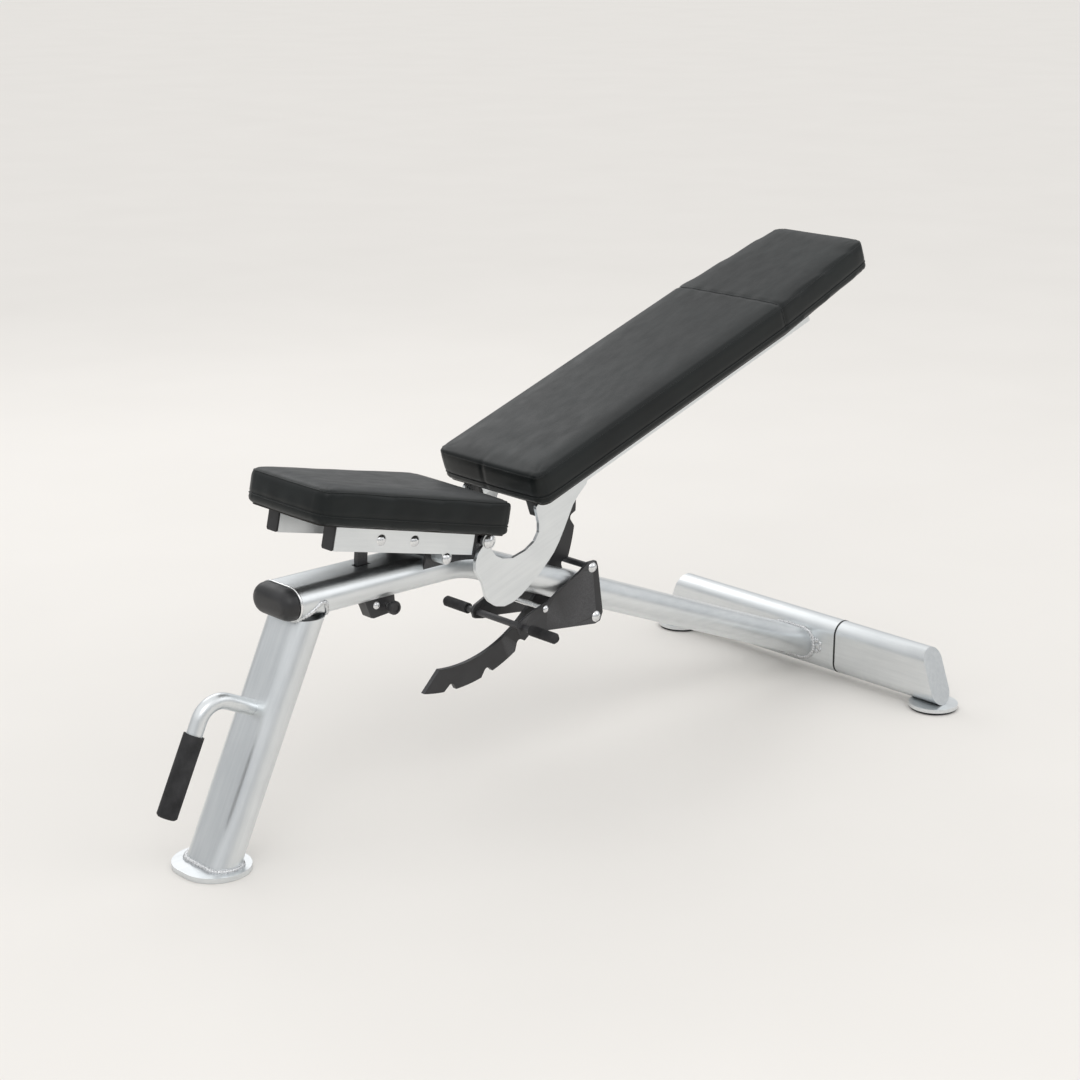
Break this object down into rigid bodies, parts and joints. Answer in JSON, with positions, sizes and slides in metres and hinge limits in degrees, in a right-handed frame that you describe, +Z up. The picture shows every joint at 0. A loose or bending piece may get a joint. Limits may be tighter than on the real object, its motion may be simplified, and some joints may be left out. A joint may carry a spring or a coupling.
{
  "type": "adjustable weight bench",
  "caption": "Adjustable weight bench: oval tube frame, hinged seat, backrest with a notched ladder, catch lever and seat pin.",
  "frame": {"origin": "centre of the front foot plate's underside, on the floor", "axes": "+X from the seat end to the head end, +Y across the bench, +Z up"},
  "size_m": [1.4742, 0.711, 0.8197],
  "materials": {
    "zinc_steel": "bright zinc-plated tube and plate, faint streaks along the tube",
    "bolt_steel": "bright plated fasteners",
    "black_steel": "black powder coat, satin",
    "black_rubber": "matte black rubber",
    "black_vinyl": "black upholstery vinyl with a fine grain and a soft sheen",
    "black_plastic": "black moulded plastic",
    "board": "plywood under a black lining"
  },
  "bodies": {
    "frame": {"beam": "zinc_steel", "beam_end_cap": "black_plastic", "front_leg": "zinc_steel", "front_foot_plate": "zinc_steel", "lift_handle_tube": "zinc_steel", "lift_handle_grip": "black_rubber", "crossbar_main": "zinc_steel", "crossbar_near_section": "zinc_steel", "crossbar_joint_ring": "black_plastic", "crossbar_end_plate_near": "zinc_steel", "crossbar_end_plate_far": "zinc_steel", "rear_foot_disc_near": "zinc_steel", "rear_foot_disc_far": "zinc_steel", "rear_foot_pads": "black_rubber", "pivot_cheek_near": "black_steel", "pivot_cheek_far": "black_steel", "main_axle": "bolt_steel", "main_axle_spacers": "bolt_steel", "seat_axle": "bolt_steel", "lever_boss": "zinc_steel", "seat_pin_housing": "black_steel", "seat_pin_housing_bolt": "bolt_steel"},
    "seat": {"seat_pad": "black_vinyl", "seat_board": "board", "seat_rail_near": "zinc_steel", "seat_rail_far": "zinc_steel", "seat_rail_front_cap_near": "black_plastic", "seat_rail_front_cap_far": "black_plastic", "seat_rail_rear_cap_near": "black_plastic", "seat_rail_rear_cap_far": "black_plastic", "seat_cross_plate": "black_steel", "seat_hinge_boss_near": "zinc_steel", "seat_hinge_boss_far": "zinc_steel", "seat_sector": "black_steel", "seat_side_bolts": "bolt_steel", "seat_pad_screws": "bolt_steel"},
    "backrest": {"back_pad": "black_vinyl", "back_board": "board", "back_rail_near": "zinc_steel", "back_rail_far": "zinc_steel", "back_rail_lower_cap_near": "black_plastic", "back_rail_lower_cap_far": "black_plastic", "back_cross_plate_lower": "black_steel", "back_cross_plate_upper": "black_steel", "crescent_plate_near": "zinc_steel", "crescent_plate_far": "zinc_steel", "ladder_plate": "black_steel", "back_pad_screws": "bolt_steel"},
    "catch_lever": {"lever_plate_near": "black_steel", "lever_plate_far": "black_steel", "catch_pin": "black_steel", "catch_pin_bolts": "bolt_steel", "lever_pivot_bolt": "bolt_steel", "lever_stop_bolt": "bolt_steel", "lever_rod": "black_steel", "lever_grip_near": "black_rubber", "lever_grip_far": "black_rubber"},
    "seat_pin": {"seat_pin": "bolt_steel", "seat_pin_knob": "black_plastic"}
  },
  "joints": [
    {"name": "backrest_hinge", "type": "hinge", "parent": "frame", "child": "backrest", "pos_m": [0.479, 0, 0.432], "axis": [0, -1, 0], "range_deg": [-17.1, 68.4]},
    {"name": "seat_hinge", "type": "hinge", "parent": "frame", "child": "seat", "pos_m": [0.399, 0, 0.4185], "axis": [0, -1, 0], "range_deg": [0, 12.6]},
    {"name": "catch_lever_hinge", "type": "hinge", "parent": "frame", "child": "catch_lever", "pos_m": [0.743, 0, 0.243], "axis": [0, 1, 0], "range_deg": [-7.9, 5]},
    {"name": "seat_pin_slide", "type": "slide", "parent": "frame", "child": "seat_pin", "axis": [0, -1, 0], "range_m": [-0.009, 0.004]}
  ]
}
